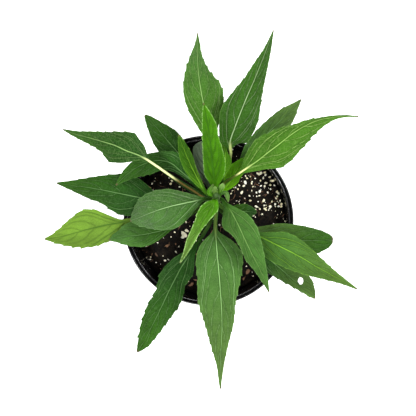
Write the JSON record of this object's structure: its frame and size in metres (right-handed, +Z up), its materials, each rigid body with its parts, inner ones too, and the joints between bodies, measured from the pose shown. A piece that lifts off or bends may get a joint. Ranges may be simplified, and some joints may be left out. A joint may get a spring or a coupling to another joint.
{
  "type": "potted coneflower plant",
  "caption": "Young coneflower plant with pointed, toothed green leaves round a short stem, growing in peat in a round black tapered nursery pot.",
  "frame": {"origin": "centre of the pot's flat foot", "axes": "+Z up; seen from above as in the picture, +X is image right and +Y is image up"},
  "size_m": [0.3013, 0.3411, 0.2954],
  "materials": {
    "pot_plastic": "semi-gloss black moulded plastic",
    "peat": "dark damp peat and bark mix with white perlite",
    "stem_green": "green stem with a brown tint",
    "leaf_light": "light yellow-green leaf, satin",
    "leaf_bright": "bright green leaf, satin",
    "leaf_middle": "mid green leaf, satin",
    "leaf_dark": "dark green leaf, satin",
    "leaf_satin": "pale greyish green leaf, satin",
    "leaf_grey": "greyish green leaf, dull",
    "leaf_pale": "very pale young leaf, soft"
  },
  "bodies": {
    "root": {"pot": "pot_plastic", "soil": "peat", "stem": "stem_green", "leaf_north_long": "leaf_middle", "leaf_north_east_long": "leaf_middle", "leaf_north_upright": "leaf_bright", "leaf_east_twisted": "leaf_middle", "leaf_east_inner": "leaf_bright", "leaf_north_east_low": "leaf_dark", "leaf_north_west_narrow": "leaf_bright", "leaf_north_west_low": "leaf_dark", "leaf_west_arched": "leaf_dark", "leaf_west_low": "leaf_dark", "leaf_west_stalked": "leaf_middle", "leaf_west_curled": "leaf_satin", "leaf_south_west_tucked": "leaf_dark", "leaf_west_far": "leaf_light", "leaf_south_west_folded": "leaf_bright", "leaf_south_long": "leaf_middle", "leaf_south_east_inner": "leaf_bright", "leaf_east_broad": "leaf_bright", "leaf_east_low": "leaf_dark", "leaf_south_east_low": "leaf_dark", "leaf_south_west_low": "leaf_dark", "leaf_east_small": "leaf_dark", "leaf_north_low": "leaf_grey", "leaf_north_inner": "leaf_bright", "bud_leaf_pointed": "leaf_pale", "bud_leaf_pale": "leaf_pale", "bud_leaf_broad": "leaf_pale", "bud_leaf_strip": "leaf_pale"}
  },
  "joints": []
}
